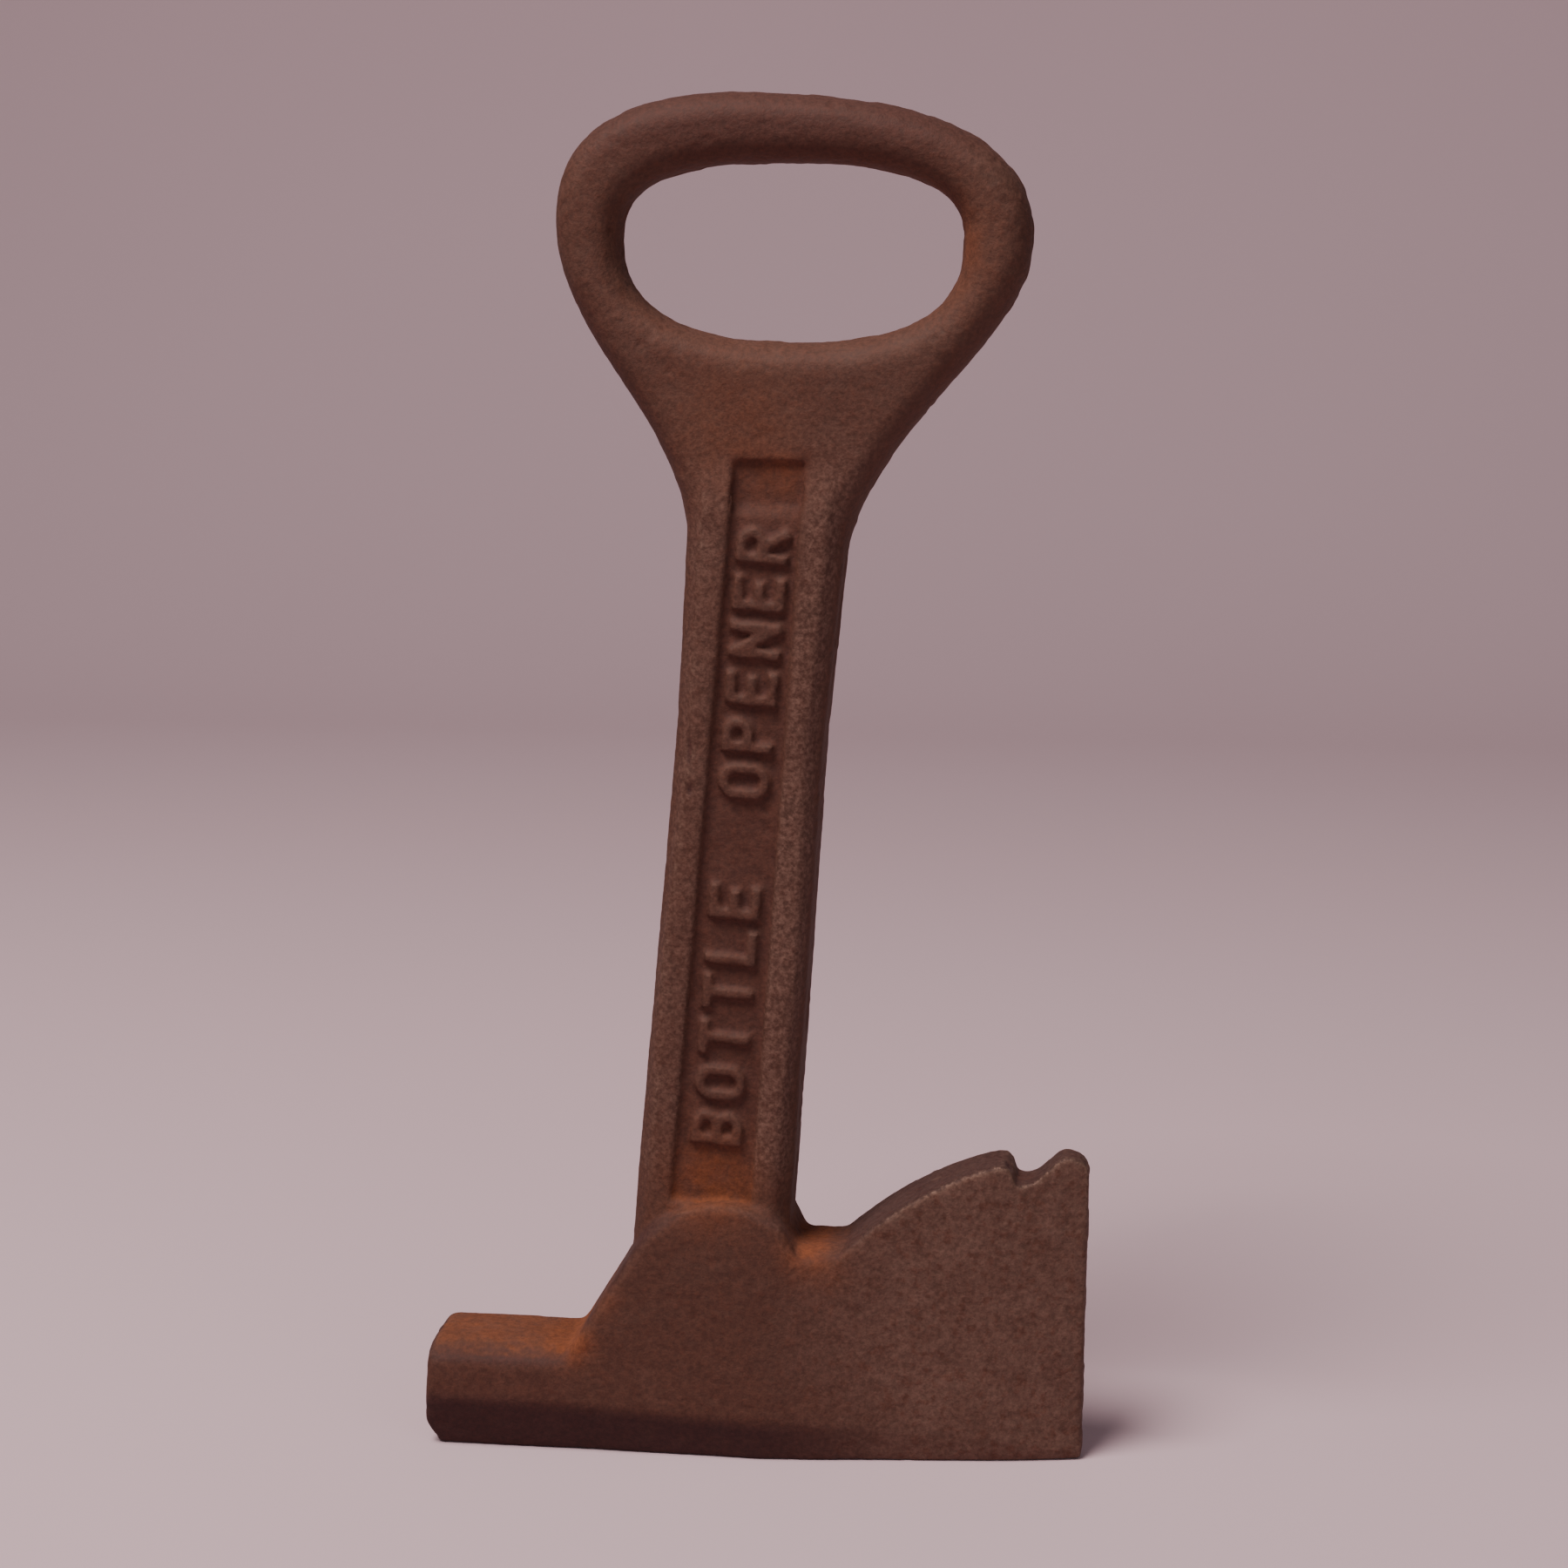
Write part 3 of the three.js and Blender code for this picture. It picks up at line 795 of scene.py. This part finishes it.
class OPENER_OT_casting(bpy.types.Operator):
    """Cast the opener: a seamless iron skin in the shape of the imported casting, with its rust"""

    bl_idname = "opener.casting"
    bl_label = "Cast opener"

    def execute(self, context):
        skin = context.scene.opener_skin
        piece = merged_copy(CASTING)
        cells = piece.modifiers.new("cells", "REMESH")
        cells.mode = "VOXEL"
        cells.voxel_size = skin.cell
        bake_modifiers(piece)
        soften(piece.data, skin)
        knock(piece.data, skin)
        inputs = skin_inputs(skin, rusted_iron(context.scene.opener_finish))
        rough = piece.modifiers.new("cast_skin", "NODES")
        rough.node_group = cast_skin_tree(inputs)
        for item in rough.node_group.interface.items_tree:
            if item.in_out == "INPUT" and item.name in inputs:
                rough[item.identifier] = inputs[item.name][1]
        thin = piece.modifiers.new("thinning", "DECIMATE")
        thin.ratio = min(1.0, skin.triangles / (2 * len(piece.data.polygons)))
        bake_modifiers(piece)
        if not piece.data.polygons:
            raise RuntimeError("the cast skin has no faces")
        piece.data.shade_smooth()
        mark_skin(piece.data)
        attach(piece, "root")
        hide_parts(CASTING)
        return {"FINISHED"}


def sweep(name, material):
    """A floor that curves up into a backdrop well behind the opener."""
    width, front, back, radius, top = 3.0, -1.5, 0.75, 0.25, 1.6
    profile = [(front, 0.0), (back - radius, 0.0)]
    steps = 16
    for i in range(1, steps + 1):
        turn = math.pi / 2 * i / steps
        profile.append((back - radius + radius * math.sin(turn), radius * (1 - math.cos(turn))))
    profile.append((back, top))
    ends = [(side * width / 2, y, z) for side in (-1, 1) for y, z in profile]
    count = len(profile)
    faces = [(i, i + count, i + count + 1, i + 1) for i in range(count - 1)]
    mesh = bpy.data.meshes.new(name)
    mesh.from_pydata(ends, [], faces)
    mesh.materials.append(material)
    mesh.shade_smooth()
    made = bpy.data.objects.new(name, mesh)
    bpy.context.scene.collection.objects.link(made)
    return made


def area_light(name, place, aim, size, power, tint):
    light = bpy.data.lights.new(name, "AREA")
    light.shape = "DISK"
    light.size = size
    light.energy = power
    light.color = tint
    made = bpy.data.objects.new(name, light)
    made.location = place
    made.rotation_euler = (Vector(aim) - Vector(place)).to_track_quat("-Z", "Y").to_euler()
    bpy.context.scene.collection.objects.link(made)
    return made


class OPENER_OT_stage(bpy.types.Operator):
    """Set the stage: pale floor, soft light and the camera"""

    bl_idname = "opener.stage"
    bl_label = "Set stage"

    def execute(self, context):
        stage = context.scene.opener_stage
        paint = bpy.data.materials.new("pale_floor")
        paint.use_nodes = True
        graph = Graph(paint.node_tree)
        shader = paint.node_tree.nodes["Principled BSDF"]
        place = graph.node("ShaderNodeTexCoord", {}, {}, out=3)
        _, depth, _ = graph.split(place)
        uneven = graph.noise(place, FLOOR_PATCH, 2) * FLOOR_UNEVENNESS
        # Painted shade: the floor darkens into the backdrop colour far behind.
        far = uneven + zone(depth, "far floor") * (1 - FLOOR_UNEVENNESS)
        pale = graph.mix(far, (*stage.floor, 1), (*stage.backdrop, 1))
        paint.node_tree.links.new(pale.socket, shader.inputs["Base Color"])
        shader.inputs["Roughness"].default_value = FLOOR_ROUGHNESS
        floor = sweep("floor", paint)

        middle = (0.0, 0.0, HEIGHT / 2)
        for name, (place, size, tint) in LIGHTS.items():
            area_light(name, place, middle, size, getattr(stage, name), tint)
        world = bpy.data.worlds.new("studio")
        world.use_nodes = True
        sky = world.node_tree.nodes["Background"]
        sky.inputs["Color"].default_value = SKY_TINT
        sky.inputs["Strength"].default_value = stage.sky
        context.scene.world = world

        camera = bpy.data.cameras.new("camera")
        camera.lens = stage.lens
        camera.clip_start = NEAREST
        made = bpy.data.objects.new("camera", camera)
        context.scene.collection.objects.link(made)
        turn, tilt = stage.azimuth, stage.elevation
        back = Vector((
            math.sin(turn) * math.cos(tilt), -math.cos(turn) * math.cos(tilt), math.sin(tilt)
        ))
        made.location = Vector((stage.target_x, 0.0, stage.target_z)) + back * stage.distance
        made.rotation_euler = (-back).to_track_quat("-Z", "Y").to_euler()
        context.scene.camera = made
        return {"FINISHED"}


class OPENER_PT_sidebar(bpy.types.Panel):
    """Sizes, colours and steps of the opener"""

    bl_idname = "OPENER_PT_sidebar"
    bl_label = "Cast opener"
    bl_space_type = "VIEW_3D"
    bl_region_type = "UI"
    bl_category = "Opener"

    def draw(self, context):
        for operator, groups in STEPS:
            box = self.layout.box()
            for group in groups:
                settings = getattr(context.scene, group)
                for prop in settings.bl_rna.properties:
                    if prop.identifier not in ("name", "rna_type"):
                        box.prop(settings, prop.identifier)
            box.operator(operator)


STEPS = (
    ("opener.casting", ("opener_skin", "opener_finish")),
    ("opener.stage", ("opener_stage",)),
)
GROUPS = {"opener_skin": CastSkin, "opener_finish": RustedIron, "opener_stage": Stage}
CLASSES = (*GROUPS.values(), OPENER_OT_casting, OPENER_OT_stage, OPENER_PT_sidebar)


def register():
    for cls in CLASSES:
        bpy.utils.register_class(cls)
    for name, group in GROUPS.items():
        setattr(bpy.types.Scene, name, PointerProperty(type=group))


def unregister():
    for name in GROUPS:
        delattr(bpy.types.Scene, name)
    for cls in reversed(CLASSES):
        bpy.utils.unregister_class(cls)


def main():
    register()
    bpy.ops.opener.casting()
    bpy.ops.opener.stage()


if __name__ == "__main__":
    main()
